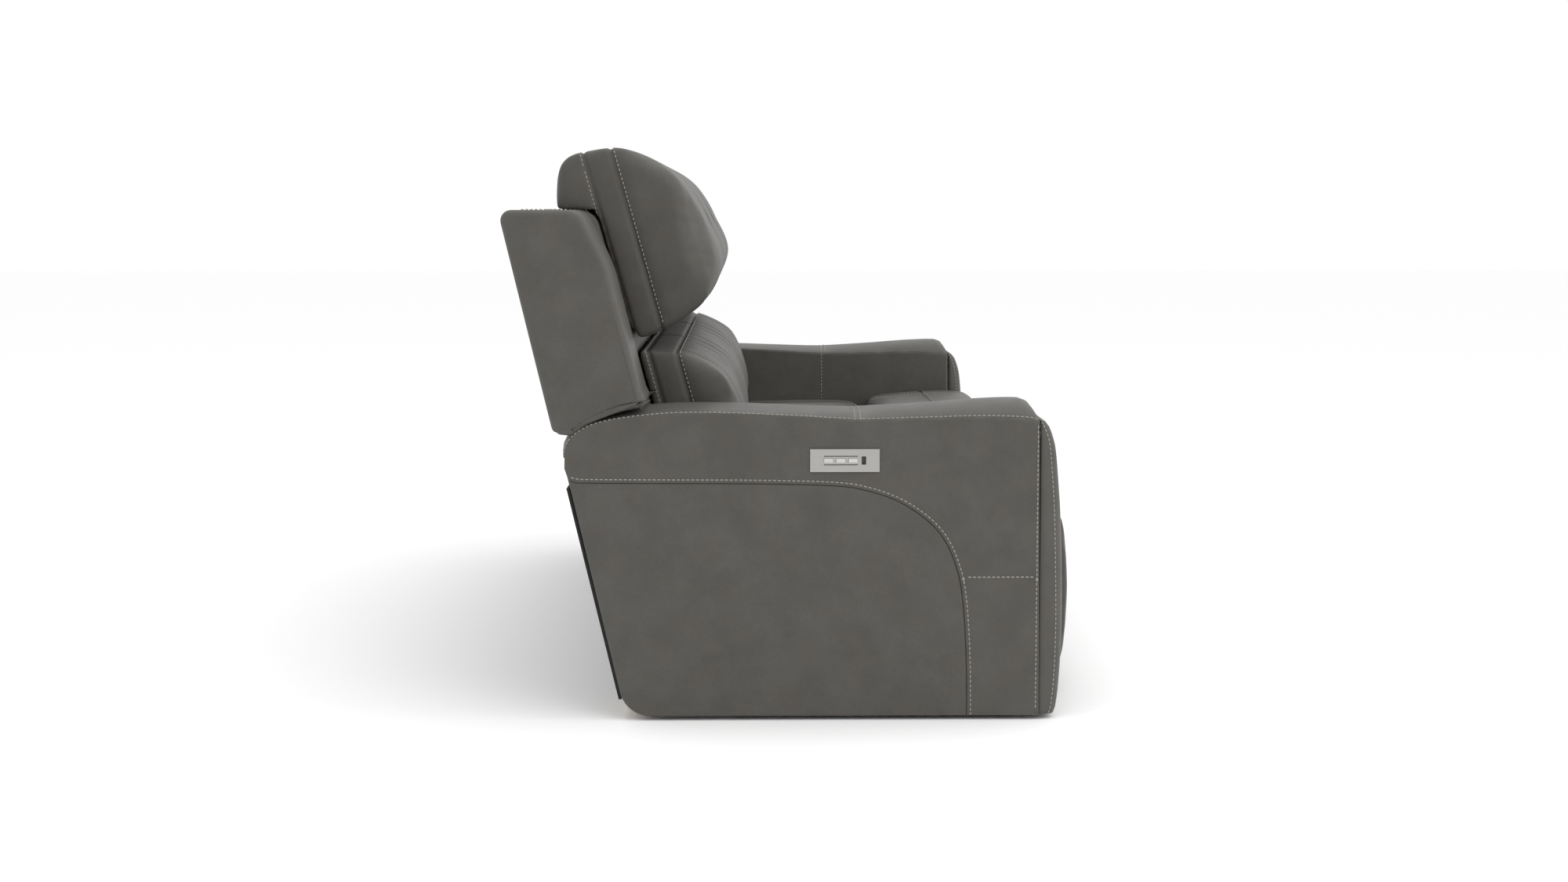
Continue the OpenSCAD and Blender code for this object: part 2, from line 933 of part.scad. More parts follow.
// Pivot bolts of the recline and drive hinges, and the screws that hold the plates to the rails.
module bolts() {
  head_t = 5;
  screw_head_r = 7;
  screw_head_h = 4;
  color(STEEL)
    for (side = [0, 1])
      flip(side)
        both_sides() {
          for (at = [pivot, drive]) {
            bar_x(at, link_x - link_t + 0.5, plate_x + head_t, bolt_r);
            bar_x(at, plate_x, plate_x + head_t, bolt_r + 5);
          }
          for (y = [front_rail_y, rear_rail_y])
            translate([plate_x - screw_in, y + rail_t / 2, rail_top]) {
              cylinder(h = plate_steel + PAST, r = screw_r);
              translate([0, 0, plate_steel])
                cylinder(h = screw_head_h, r = screw_head_r);
            }
        }
}

// ---- actuators ----

// The rod lies beside its crank: a bar along Y with an eye at the crank's tip.
module rod_to(x, tip, far_y) {
  eye_x = seat_x + x + rod_side;
  near = tip.x + sign(far_y - tip.x) * (rod_eye_r - 3);
  color(BRUSHED)
    difference() {
      union() {
        bar_x(tip, eye_x - crank_t / 2, eye_x + crank_t / 2, rod_eye_r);
        bar_y(eye_x, tip.y, min(near, far_y), max(near, far_y), rod_r);
      }
      bar_x(tip, eye_x - crank_t, eye_x + crank_t, bolt_r + run_fit);
    }
}

module recline_rod() {
  rod_to(recline_motor_x, recline_crank, recline_rod_end);
}

module footrest_rod() {
  rod_to(footrest_motor_x, footrest_crank, footrest_rod_end);
}

// One actuator: guide tube, gearbox, motor and the saddle that sits on the tie tube.
module actuator(x, z, y0, y1, gearbox_y0) {
  axis_x = seat_x + x + rod_side;
  difference() {
    union() {
      bar_y(axis_x, z, y0, y1, motor_r);
      translate([axis_x - gearbox.x / 2, gearbox_y0, z - gearbox.z / 2])
        cube(gearbox);
      translate([axis_x - saddle.x / 2, tie_y - saddle.y / 2, tie_z])
        cube([saddle.x, saddle.y, z - tie_z]);
    }
    bar_y(axis_x, z, y0 - PAST, y1 + PAST, rod_r + run_fit);
    bar_x([tie_y, tie_z], axis_x - gearbox.x, axis_x + gearbox.x, tube_r);
  }
}

module actuators() {
  color(PLASTIC) {
    actuator(recline_motor_x, recline_crank.y, tie_y - 10, tie_y + 170, tie_y - 10 - gearbox.y);
    actuator(footrest_motor_x, footrest_crank.y, tie_y - 165, tie_y + 20, tie_y + 20);
  }
}

// ---- footrest ----

module lower_links() {
  half = link_x - link_t;
  color(STEEL)
    union() {
      both_sides()
        link(drive, elbow, half, link_t, link_w, bolt_r + run_fit, bolt_r + run_fit);
      translate([seat_x, 0, 0]) {
        bar_x(drive, -half - SEAM, half + SEAM, drive_tube_r);
        link(footrest_crank, drive, footrest_motor_x - crank_t / 2, crank_t, crank_w, bolt_r + run_fit, 0);
      }
    }
}

module upper_links() {
  half = upper_link_x - link_t;
  color(STEEL)
    union() {
      both_sides() {
        link(elbow, bracket, half, link_t, link_w, 0, bolt_r + run_fit);
        bar_x(elbow, half, link_x + 1, bolt_r);
      }
      translate([seat_x, 0, 0])
        bar_x(elbow, -half - 1, half + 1, 8);
    }
}

module footrest_frame() {
  half = bracket_x - link_t;
  board_half = bracket_x - 4;
  color(PLYWOOD)
    union() {
      translate([seat_x - board_half, board_y, foot_low + 15])
        cube([2 * board_half, board_t, deck_low - foot_low - 15]);
      both_sides() {
        link(bracket, [board_y + board_t - 2, bracket.y], half, link_t, link_w, 0, 0);
        bar_x(bracket, half, upper_link_x + 1, bolt_r);
      }
    }
}

module footrest_pad() {
  color(LEATHER)
    translate([seat_x, 0, 0])
      span(-pad_half, pad_half)
        polygon(rounded([
          [board_y, foot_low, 8],
          [board_y, foot_top, 12],
          [front_y + 12, foot_top, 34],
          [front_y, (foot_low + foot_top) / 2, 120],
          [front_y + 10, foot_low, 30]
        ]));
}

// ---- the assembly ----
// The left side of the sofa is the right side mirrored.
module left() {
  mirror([1, 0, 0])
    children();
}

base_frame();
floor_glides();
rear_lower_panel();
power_supply();
bolts();
middle_back();
middle_lumbar();
middle_headrest();
middle_seat_cushion();
middle_chaise_pad();
arm_frame();  // right_arm_frame
left() arm_frame();  // left_arm_frame
side_panel();  // right_side_panel
left() side_panel();  // left_side_panel
arm_band();  // right_arm_band
left() arm_band();  // left_arm_band
arm_top();  // right_arm_top
left() arm_top();  // left_arm_top
arm_front_pad();  // right_arm_front_pad
left() arm_front_pad();  // left_arm_front_pad
control_plate();  // right_control_plate
left() control_plate();  // left_control_plate
button(0);  // right_open_button
left() button(0);  // left_open_button
button(1);  // right_close_button
left() button(1);  // left_close_button
button(2);  // right_home_button
left() button(2);  // left_home_button
usb_socket();  // right_usb_socket
left() usb_socket();  // left_usb_socket
seat_cushion();  // right_seat_cushion
left() seat_cushion();  // left_seat_cushion
chaise_pad();  // right_chaise_pad
left() chaise_pad();  // left_chaise_pad
mechanism_plates();  // right_mechanism_plates
left() mechanism_plates();  // left_mechanism_plates
actuators();  // right_actuators
left() actuators();  // left_actuators
recline_rod();  // right_recline_rod
left() recline_rod();  // left_recline_rod
footrest_rod();  // right_footrest_rod
left() footrest_rod();  // left_footrest_rod
back_frame();  // right_back_frame
left() back_frame();  // left_back_frame
back_cover();  // right_back_cover
left() back_cover();  // left_back_cover
lumbar_cushion();  // right_lumbar_cushion
left() lumbar_cushion();  // left_lumbar_cushion
headrest_pillow();  // right_headrest_pillow
left() headrest_pillow();  // left_headrest_pillow
headrest_bracket();  // right_headrest_bracket
left() headrest_bracket();  // left_headrest_bracket
lower_links();  // right_lower_links
left() lower_links();  // left_lower_links
upper_links();  // right_upper_links
left() upper_links();  // left_upper_links
footrest_frame();  // right_footrest_frame
left() footrest_frame();  // left_footrest_frame
footrest_pad();  // right_footrest_pad
left() footrest_pad();  // left_footrest_pad
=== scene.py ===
import json
import math

import bmesh
import bpy
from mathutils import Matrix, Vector
from mathutils.bvhtree import BVHTree


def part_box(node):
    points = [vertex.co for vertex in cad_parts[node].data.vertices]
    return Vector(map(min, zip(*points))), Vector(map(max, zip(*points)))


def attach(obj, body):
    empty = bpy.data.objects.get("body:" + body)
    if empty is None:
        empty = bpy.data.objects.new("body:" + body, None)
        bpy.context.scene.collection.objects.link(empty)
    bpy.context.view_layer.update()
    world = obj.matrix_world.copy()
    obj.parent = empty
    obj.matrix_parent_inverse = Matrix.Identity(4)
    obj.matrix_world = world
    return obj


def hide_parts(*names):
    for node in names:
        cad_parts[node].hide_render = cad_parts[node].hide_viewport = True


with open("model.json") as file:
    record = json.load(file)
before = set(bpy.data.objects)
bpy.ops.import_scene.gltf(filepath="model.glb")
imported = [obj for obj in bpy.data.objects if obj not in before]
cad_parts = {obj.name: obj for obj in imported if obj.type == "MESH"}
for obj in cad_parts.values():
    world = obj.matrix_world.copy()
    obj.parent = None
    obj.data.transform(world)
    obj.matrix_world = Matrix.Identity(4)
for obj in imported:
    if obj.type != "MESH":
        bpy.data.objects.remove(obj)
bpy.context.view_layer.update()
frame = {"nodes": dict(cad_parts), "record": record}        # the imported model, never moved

# ---- sizes shared with the CAD model, in metres ----
LEAN = math.radians(15.6)                     # slope of the face behind the cushions
SEAT_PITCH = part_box("middle_seat_cushion")[0].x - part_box("right_seat_cushion")[0].x
PAD_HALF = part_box("middle_seat_cushion")[1].x
ARM_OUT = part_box("right_arm_band")[0].x       # outer face of the right arm
ARM_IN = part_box("right_arm_top")[1].x         # inner face of the right arm
PIVOT = next(Vector(j["pos_m"]) for j in frame["record"]["behaviour"]["joints"]
             if j["name"] == "right_recline")
VOXEL = 0.008
STITCH_PITCH = 0.0090
STITCH_LEN = 0.0066
STITCH_R = 0.00105
RIM_STEPS = 5
RIM_LAND = 0.002                              # flat edge inside a rounded rim
PAINTED_SHADE_DEPTH = 0.0003                               # faces deeper than this on the control plate get black plastic as painted shade

BACK_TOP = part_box("middle_back")[1]
SLOPE_Y0 = 0.1209                             # y where the slope of the back meets the floor


def on_back(out, up):
    """(y, z) of a point up the slope of the back and forward of its face."""
    return (SLOPE_Y0 + up * math.sin(LEAN) - out * math.cos(LEAN),
            up * math.cos(LEAN) + out * math.sin(LEAN))


def out_of(co):
    """How far a point stands forward of the back's face."""
    return -(co.y - SLOPE_Y0) * math.cos(LEAN) + co.z * math.sin(LEAN)


def up_of(co):
    """How far up the slope of the back a point is."""
    return (co.y - SLOPE_Y0) * math.sin(LEAN) + co.z * math.cos(LEAN)


# ---- materials ----

def new_material(name):
    mat = bpy.data.materials.new(name)
    mat.use_nodes = True
    nodes = mat.node_tree.nodes
    nodes.clear()
    out = nodes.new("ShaderNodeOutputMaterial")
    shader = nodes.new("ShaderNodeBsdfPrincipled")
    mat.node_tree.links.new(shader.outputs[0], out.inputs[0])
    return mat, shader


class Tree:
    """Short names for building a node tree."""

    def __init__(self, mat):
        self.tree = mat.node_tree
        self.place = self.tree.nodes.new("ShaderNodeTexCoord").outputs["Object"]

    def node(self, kind, **values):
        made = self.tree.nodes.new(kind)
        for key, value in values.items():
            if hasattr(made, key):
                setattr(made, key, value)
            else:
                made.inputs[key.replace("_", " ")].default_value = value
        return made

    def link(self, a, b):
        self.tree.links.new(a, b)

    def stretched(self, scale):
        mapping = self.node("ShaderNodeMapping")
        mapping.inputs["Scale"].default_value = scale
        self.link(self.place, mapping.inputs["Vector"])
        return mapping.outputs[0]

    def noise(self, scale, detail=4.0, rough=0.55, at=None):
        made = self.node("ShaderNodeTexNoise", Scale=scale, Detail=detail, Roughness=rough)
        self.link(at or self.place, made.inputs["Vector"])
        return made.outputs["Fac"]

    def ramp(self, fac, stops):
        made = self.node("ShaderNodeValToRGB")
        for i, (pos, col) in enumerate(stops):
            stop = made.color_ramp.elements[i] if i < 2 else made.color_ramp.elements.new(pos)
            stop.position = pos
            stop.color = (*col, 1)
        self.link(fac, made.inputs["Fac"])
        return made.outputs["Color"]

    def mix(self, fac, a, b, mode="MIX"):
        made = self.node("ShaderNodeMix", data_type="RGBA", blend_type=mode)
        for value, socket in ((fac, 0), (a, 6), (b, 7)):
            if isinstance(value, (int, float, tuple)):
                made.inputs[socket].default_value = value
            else:
                self.link(value, made.inputs[socket])
        return made.outputs[2]

    def spread(self, fac, low, high):
        made = self.node("ShaderNodeMapRange")
        made.inputs["To Min"].default_value = low
        made.inputs["To Max"].default_value = high
        self.link(fac, made.inputs["Value"])
        return made.outputs["Result"]

    def bump(self, height, strength, distance, normal=None):
        made = self.node("ShaderNodeBump", Strength=strength, Distance=distance)
        self.link(height, made.inputs["Height"])
        if normal:
            self.link(normal, made.inputs["Normal"])
        return made.outputs["Normal"]


def leather(name, tone, creases=0.35):
    """Smooth top-grain leather: mottled colour, fine pebble grain, soft hide marks, worn high spots."""
    mat, shader = new_material(name)
    t = Tree(mat)
    dark = tuple(c * 0.89 for c in tone)
    light = tuple(c * 1.11 for c in tone)
    cloudy = t.ramp(t.noise(13.0, 6.0, 0.65), [(0.36, dark), (0.64, light)])
    warm = (tone[0] * 1.25, tone[1] * 0.98, tone[2] * 0.88)
    patches = t.ramp(t.noise(21.0, 4.0), [(0.5, (0, 0, 0)), (0.76, (0.5, 0.5, 0.5))])
    colour = t.mix(patches, cloudy, (*warm, 1))
    fine = t.ramp(t.noise(420.0, 2.0), [(0.3, (0.9, 0.9, 0.9)), (0.75, (1.06, 1.06, 1.06))])
    colour = t.mix(1.0, colour, fine, "MULTIPLY")
    worn = t.node("ShaderNodeNewGeometry").outputs["Pointiness"]
    edge = t.ramp(worn, [(0.5, (0, 0, 0)), (0.62, (0.5, 0.5, 0.5))])
    colour = t.mix(edge, colour, (*(c * 1.5 for c in tone), 1))
    t.link(colour, shader.inputs["Base Color"])
    t.link(t.spread(t.noise(24.0, 4.0), 0.47, 0.62), shader.inputs["Roughness"])
    grain = t.node("ShaderNodeTexVoronoi", feature="SMOOTH_F1", Scale=520.0)
    t.link(t.place, grain.inputs["Vector"])
    normal = t.bump(t.noise(9.0, 3.0), creases, 0.006)
    normal = t.bump(t.noise(60.0, 5.0, 0.6), 0.12, 0.0012, normal)
    normal = t.bump(grain.outputs["Distance"], 0.22, 0.0005, normal)
    t.link(normal, shader.inputs["Normal"])
    shader.inputs["Sheen Weight"].default_value = 0.06
    shader.inputs["Specular IOR Level"].default_value = 0.42
    return mat


def thread(name, tone):
    """Twisted sewing thread."""
    mat, shader = new_material(name)
    t = Tree(mat)
    dark = tuple(c * 0.75 for c in tone)
    t.link(t.ramp(t.noise(900.0, 2.0), [(0.3, dark), (0.7, tone)]), shader.inputs["Base Color"])
    t.link(t.bump(t.noise(1500.0, 2.0), 0.3, 0.0003), shader.inputs["Normal"])
    shader.inputs["Roughness"].default_value = 0.7
    return mat


def brushed(name, tone, rough, along):
    """Brushed metal with fine lines along one direction."""
    mat, shader = new_material(name)
    t = Tree(mat)
    lines = t.noise(1.0, 3.0, 0.6, t.stretched(along))
    dark = tuple(c * 0.86 for c in tone)
    t.link(t.ramp(lines, [(0.3, dark), (0.7, tone)]), shader.inputs["Base Color"])
    t.link(t.spread(lines, rough - 0.07, rough + 0.08), shader.inputs["Roughness"])
    t.link(t.bump(lines, 0.12, 0.0002), shader.inputs["Normal"])
    shader.inputs["Metallic"].default_value = 1.0
    return mat


def coated(name, tone, rough, scale, metallic=0.0):
    """Powder coat, moulded plastic or lining: one tone with fine texture, dust and scuffs."""
    mat, shader = new_material(name)
    t = Tree(mat)
    light = tuple(c * 1.5 + 0.004 for c in tone)
    scuffs = t.noise(35.0, 6.0, 0.7)
    t.link(t.ramp(scuffs, [(0.45, tone), (0.8, light)]), shader.inputs["Base Color"])
    t.link(t.spread(scuffs, rough - 0.06, rough + 0.1), shader.inputs["Roughness"])
    t.link(t.bump(t.noise(scale, 3.0), 0.2, 0.0004), shader.inputs["Normal"])
    shader.inputs["Metallic"].default_value = metallic
    return mat


def lining(name, tone):
    """Plain woven lining cloth."""
    mat, shader = new_material(name)
    t = Tree(mat)
    weave = []
    for scale in ((900, 1, 1), (1, 500, 900)):
        wave = t.node("ShaderNodeTexWave", Scale=1.0, Distortion=0.6)
        t.link(t.stretched(scale), wave.inputs["Vector"])
        weave.append(wave.outputs["Fac"])
    both = t.mix(0.5, weave[0], weave[1])
    light = tuple(c * 1.5 for c in tone)
    cloudy = t.ramp(t.noise(8.0, 5.0), [(0.35, tone), (0.75, light)])
    t.link(t.mix(0.25, cloudy, both, "MULTIPLY"), shader.inputs["Base Color"])
    t.link(t.bump(both, 0.4, 0.0006), shader.inputs["Normal"])
    shader.inputs["Roughness"].default_value = 0.88
    return mat


def plywood(name):
    """Birch plywood: long soft grain and thin plies."""
    mat, shader = new_material(name)
    t = Tree(mat)
    grain = t.noise(1.0, 6.0, 0.6, t.stretched((4, 60, 60)))
    tone = t.ramp(grain, [(0.3, (0.2, 0.13, 0.07)), (0.5, (0.27, 0.19, 0.11)),
                          (0.75, (0.32, 0.24, 0.15))])
    t.link(tone, shader.inputs["Base Color"])
    t.link(t.bump(grain, 0.2, 0.0008), shader.inputs["Normal"])
    shader.inputs["Roughness"].default_value = 0.65
    return mat


LEATHER = leather("leather", (0.066, 0.0635, 0.056))
THREAD = thread("thread", (0.33, 0.315, 0.275))
CAD_MATERIALS = {
    "plywood": plywood("plywood"),
    "black_plastic": coated("black_plastic", (0.012, 0.012, 0.013), 0.45, 1400.0),
    "painted_steel": coated("painted_steel", (0.018, 0.018, 0.02), 0.38, 900.0, 0.3),
    "bright_steel": brushed("bright_steel", (0.6, 0.6, 0.62), 0.28, (400, 6, 400)),
    "brushed_aluminium": brushed("brushed_aluminium", (0.42, 0.415, 0.4), 0.42, (40, 25, 1500)),
    "button": brushed("button", (0.62, 0.61, 0.59), 0.3, (900, 25, 900)),
    "dark_cover": lining("dark_cover", (0.012, 0.011, 0.011)),
    "leather": LEATHER,
}
for part in frame["record"]["subparts"]:
    cad = frame["nodes"][part["node"]]
    cad.data.materials.clear()
    finish = "button" if part["node"].endswith("_button") else part["material_slot"]
    cad.data.materials.append(CAD_MATERIALS[finish])


# Painted shade: the sockets and grooves of a control plate get black plastic, standing in for the shade
# inside them.
for side, way in (("right", 1), ("left", -1)):
    plate = frame["nodes"][f"{side}_control_plate"].data
    plate.materials.append(CAD_MATERIALS["black_plastic"])
    outer = min(v.co.x * way for v in plate.vertices)
    for face in plate.polygons:
        if face.center.x * way > outer + PAINTED_SHADE_DEPTH:
            face.material_index = 1


# ---- mesh helpers ----

def make_object(name, verts, faces):
    mesh = bpy.data.meshes.new(name)
    mesh.from_pydata([tuple(v) for v in verts], [], faces)
    mesh.validate()
    mesh.update()
    mesh.polygons.foreach_set("use_smooth", [True] * len(mesh.polygons))
    mesh.materials.append(LEATHER)
    mesh.materials.append(THREAD)
    obj = bpy.data.objects.new(name, mesh)
    bpy.context.scene.collection.objects.link(obj)
    fix = bmesh.new()
    fix.from_mesh(mesh)
    bmesh.ops.recalc_face_normals(fix, faces=fix.faces)
    fix.to_mesh(mesh)
    fix.free()
    return obj


def apply_modifiers(obj):
    deps = bpy.context.evaluated_depsgraph_get()
    mesh = bpy.data.meshes.new_from_object(obj.evaluated_get(deps))
    mesh.name = obj.name
    obj.modifiers.clear()
    obj.data = mesh


def rounded(corners, steps=6):
    """A closed outline from (y, z, radius) corners."""
    points = []
    for i, (y, z, r) in enumerate(corners):
        at = Vector((y, z))
        if not r:
            points.append(at)
            continue
        a = (Vector(corners[i - 1][:2]) - at).normalized()
        b = (Vector(corners[(i + 1) % len(corners)][:2]) - at).normalized()
        half = a.angle(b) / 2
        middle = at + (a + b).normalized() * r / math.sin(half)
        start = at + a * r / math.tan(half) - middle
        end = at + b * r / math.tan(half) - middle
        turn = start.angle_signed(end)
        first = math.atan2(start.y, start.x)
        for k in range(steps + 1):
            angle = first - turn * k / steps
            points.append(middle + r * Vector((math.cos(angle), math.sin(angle))))
    return points


def inset(points, by):
    """An outline moved inwards by `by`, along the normals of its corners."""
    area = sum(p.x * q.y - q.x * p.y for p, q in zip(points, points[1:] + points[:1]))
    turn = 1 if area > 0 else -1
    result = []
    for i, p in enumerate(points):
        a = p - points[i - 1]
        b = points[(i + 1) % len(points)] - p
        if a.length < 1e-7:
            a = b
        if b.length < 1e-7:
            b = a
        na = Vector((-a.y, a.x)).normalized() * turn
        nb = Vector((-b.y, b.x)).normalized() * turn
        mid = (na + nb).normalized()
        result.append(p + mid * by / max(0.5, mid.dot(na)))
    return result


def smooth_path(points, step=0.012):
    """Points of a Catmull-Rom curve through the given ones, about `step` apart."""
    n = len(points)
    result = []
    for i in range(n - 1):
        p = [points[min(max(i + k, 0), n - 1)] for k in (-1, 0, 1, 2)]
        count = max(1, round((p[2] - p[1]).length / step))
        for k in range(count):
            u = k / count
            result.append(0.5 * (2 * p[1] + (p[2] - p[0]) * u
                                 + (2 * p[0] - 5 * p[1] + 4 * p[2] - p[3]) * u ** 2
                                 + (3 * p[1] - p[0] - 3 * p[2] + p[3]) * u ** 3))
    result.append(points[-1])
    return result


def soft_slab(name, outline, x0, x1, r0, r1):
    """An outline (y, z) spanned from x0 to x1, with rounded rims of r0 and r1."""
    rings = []
    for x, r, way in ((x0, r0, 1), (x1, r1, -1)):
        side = []
        if r > 0:
            side.append((inset(outline, r + RIM_LAND), x))
            for k in range(RIM_STEPS + 1):
                angle = math.pi / 2 * k / RIM_STEPS
                side.append((inset(outline, r * (1 - math.sin(angle))),
                             x + way * r * (1 - math.cos(angle))))
        else:
            side.append((outline, x))
        rings += side if way > 0 else side[::-1]
    n = len(outline)
    verts = [Vector((x, p.x, p.y)) for ring, x in rings for p in ring]
    faces = [[k * n + i, k * n + (i + 1) % n, (k + 1) * n + (i + 1) % n, (k + 1) * n + i]
             for k in range(len(rings) - 1) for i in range(n)]
    faces += [list(range(n)), [(len(rings) - 1) * n + i for i in range(n)]]
    return make_object(name, verts, faces)


def loft(name, rows):
    """A skin over rows of points, each a closed loop with the same count."""
    n = len(rows[0])
    verts = [v for row in rows for v in row]
    faces = [[k * n + i, k * n + (i + 1) % n, (k + 1) * n + (i + 1) % n, (k + 1) * n + i]
             for k in range(len(rows) - 1) for i in range(n)]
    faces += [list(range(n)), [(len(rows) - 1) * n + i for i in range(n)]]
    return make_object(name, verts, faces)


# ---- seams and stitches ----

def dash(verts, faces, a, b, normal, r=STITCH_R):
    """One stitch from a to b: a thin pillow that just stands out of the leather."""
    along = (b - a).normalized()
    side = along.cross(normal).normalized()
    base = len(verts)
    for t, grow in ((0, 0.35), (0.2, 1), (0.8, 1), (1, 0.35)):
        mid = a.lerp(b, t) + normal * (r * (0.5 if grow == 1 else -0.4))
        for s, h in ((1, 0), (0, 1), (-1, 0), (0, -1)):
            verts.append(mid + side * s * r * grow * 1.15 + normal * h * r * grow)
    for k in range(3):
        for i in range(4):
            j = (i + 1) % 4
            faces.append([base + 4 * k + i, base + 4 * k + j,
                          base + 4 * k + 4 + j, base + 4 * k + 4 + i])
    faces += [[base + 3, base + 2, base + 1, base], [base + 12, base + 13, base + 14, base + 15]]


def surface_of(obj):
    bm = bmesh.new()
    bm.from_mesh(obj.data)
    tree = BVHTree.FromBMesh(bm)
    bm.free()
    return tree


def sew(obj, paths):
    """Adds stitches along 3-D paths to the piece itself, laid on its surface."""
    tree = surface_of(obj)
    verts, faces = [], []
    for path in paths:
        marks = [0.0]
        for p, q in zip(path, path[1:]):
            marks.append(marks[-1] + (q - p).length)

        def along(s, i=0):
            while i < len(path) - 2 and marks[i + 1] < s:
                i += 1
            span = marks[i + 1] - marks[i]
            return path[i].lerp(path[i + 1], (s - marks[i]) / span if span > 1e-9 else 0), i

        s, i = 0.0, 0
        while s + STITCH_LEN < marks[-1]:
            p, i = along(s, i)
            q, _ = along(s + STITCH_LEN, i)
            hit_p, hit_q = tree.find_nearest(p), tree.find_nearest(q)
            if hit_p[0] and hit_q[0] and (hit_p[0] - hit_q[0]).length > STITCH_LEN / 3:
                dash(verts, faces, hit_p[0], hit_q[0], (hit_p[1] + hit_q[1]).normalized())
            s += STITCH_PITCH
    add_geometry(obj, verts, faces, 1)


def add_geometry(obj, verts, faces, slot):
    bm = bmesh.new()
    bm.from_mesh(obj.data)
    new = [bm.verts.new(v) for v in verts]
    for f in faces:
        face = bm.faces.new([new[i] for i in f])
        face.material_index = slot
        face.smooth = True
    bm.to_mesh(obj.data)
    bm.free()


def plane_paths(obj, at, normal, keep):
    """Where a plane cuts the piece: a list of chains of points."""
    bm = bmesh.new()
    bm.from_mesh(obj.data)
    cut = bmesh.ops.bisect_plane(bm, geom=bm.verts[:] + bm.edges[:] + bm.faces[:],
                                 plane_co=at, plane_no=normal)["geom_cut"]
    near = {}
    for e in cut:
        if isinstance(e, bmesh.types.BMEdge) and all(keep(v.co) for v in e.verts):
            a, b = e.verts
            near.setdefault(a, []).append(b)
            near.setdefault(b, []).append(a)
    chains, seen = [], set()
    order = sorted(near, key=lambda v: (len(near[v]), round(v.co.x, 5), round(v.co.y, 5), v.co.z))
    for start in order:
        if start in seen:
            continue
        chain, v = [], start
        while v is not None:
            seen.add(v)
            chain.append(v.co.copy())
            v = next((w for w in near[v] if w not in seen), None)
        if len(chain) > 3:
            chains.append(even(chain))
    bm.free()
    return chains


def even(chain, step=STITCH_PITCH / 2):
    """The same chain with its points evenly spaced."""
    result = [chain[0]]
    for p in chain[1:]:
        while (p - result[-1]).length > step:
            result.append(result[-1] + (p - result[-1]).normalized() * step)
    return result


def groove(obj, distance, keep, depth, width):
    """Presses a sewn channel into the piece where `distance(co)` is near zero."""
    normals = [v.normal.copy() for v in obj.data.vertices]
    for v, n in zip(obj.data.vertices, normals):
        d = distance(v.co)
        if abs(d) < 3 * width and keep(v.co):
            v.co -= n * depth * math.exp(-(d / width) ** 2)
    obj.data.update()


# ---- stuffed pieces: cloth blown up by pressure, held down along its seams ----

def stuff(node, name, seams, flat, crown, pressure=4.0, start=0.005):
    """A padded copy of a CAD solid.

    seams: functions of a point, near zero on a seam.  flat: says where the piece rests on
    something and can't swell.  crown: the most that a point may rise above the CAD solid."""
    low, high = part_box(node)
    obj = bpy.data.objects.new(name, frame["nodes"][node].data.copy())
    bpy.context.scene.collection.objects.link(obj)
    remesh = obj.modifiers.new("remesh", "REMESH")
    remesh.mode = "VOXEL"
    remesh.voxel_size = VOXEL
    remesh.use_smooth_shade = True
    soften = obj.modifiers.new("soften", "SMOOTH")
    soften.iterations = 4
    apply_modifiers(obj)
    mesh = obj.data
    rest = [v.co.copy() for v in mesh.vertices]
    normals = [v.normal.copy() for v in mesh.vertices]
    for v, n in zip(mesh.vertices, normals):
        v.co -= n * start
    begin = [v.co.copy() for v in mesh.vertices]
    held = obj.vertex_groups.new(name="held")
    for v, co in zip(mesh.vertices, rest):
        near = min([abs(seam(co)) for seam in seams] + [1.0])
        weight = 1.0 if flat(co) else max(0.0, 1 - near / 0.012)
        if weight > 0:
            held.add([v.index], weight, "REPLACE")
    cloth = obj.modifiers.new("cloth", "CLOTH")
    s = cloth.settings
    s.quality = 6
    s.mass = 0.25
    s.tension_stiffness = s.compression_stiffness = 12
    s.shear_stiffness = 6
    s.bending_stiffness = 1.5
    s.use_pressure = True
    s.uniform_pressure_force = pressure
    s.effector_weights.gravity = 0
    s.vertex_group_mass = "held"
    s.pin_stiffness = 1.0
    cloth.collision_settings.use_collision = False
    scene = bpy.context.scene
    for f in range(1, 21):
        scene.frame_set(f)
    apply_modifiers(obj)
    scene.frame_set(1)
    for v, co, n, b in zip(obj.data.vertices, rest, normals, begin):
        move = v.co - b
        limit = crown + start
        if move.length > limit:
            v.co = b + move.normalized() * limit
        v.co.x = min(max(v.co.x, low.x - 0.0022), high.x + 0.0022)
    tidy = obj.modifiers.new("tidy", "SMOOTH")
    tidy.iterations = 6
    fine = obj.modifiers.new("fine", "SUBSURF")
    fine.levels = fine.render_levels = 1
    apply_modifiers(obj)
    obj.data.polygons.foreach_set("use_smooth", [True] * len(obj.data.polygons))
    obj.data.materials.clear()
    obj.data.materials.append(LEATHER)
    obj.data.materials.append(THREAD)
    for g in list(obj.vertex_groups):
        obj.vertex_groups.remove(g)
    return obj


def finish_piece(obj, body, nodes):
    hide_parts(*nodes)
    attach(obj, body)


def copied(obj, name, dx):
    """The same piece at another seat."""
    mesh = obj.data.copy()
    other = bpy.data.objects.new(name, mesh)
    bpy.context.scene.collection.objects.link(other)
    for v in mesh.vertices:
        v.co.x += dx
    return other


def mirrored(obj, name):
    """The same piece on the other half of the sofa."""
    mesh = obj.data.copy()
    other = bpy.data.objects.new(name, mesh)
    bpy.context.scene.collection.objects.link(other)
    for v in mesh.vertices:
        v.co.x = -v.co.x
    mesh.flip_normals()
    return other


SIDES = {"right": -SEAT_PITCH, "middle": 0.0, "left": SEAT_PITCH}


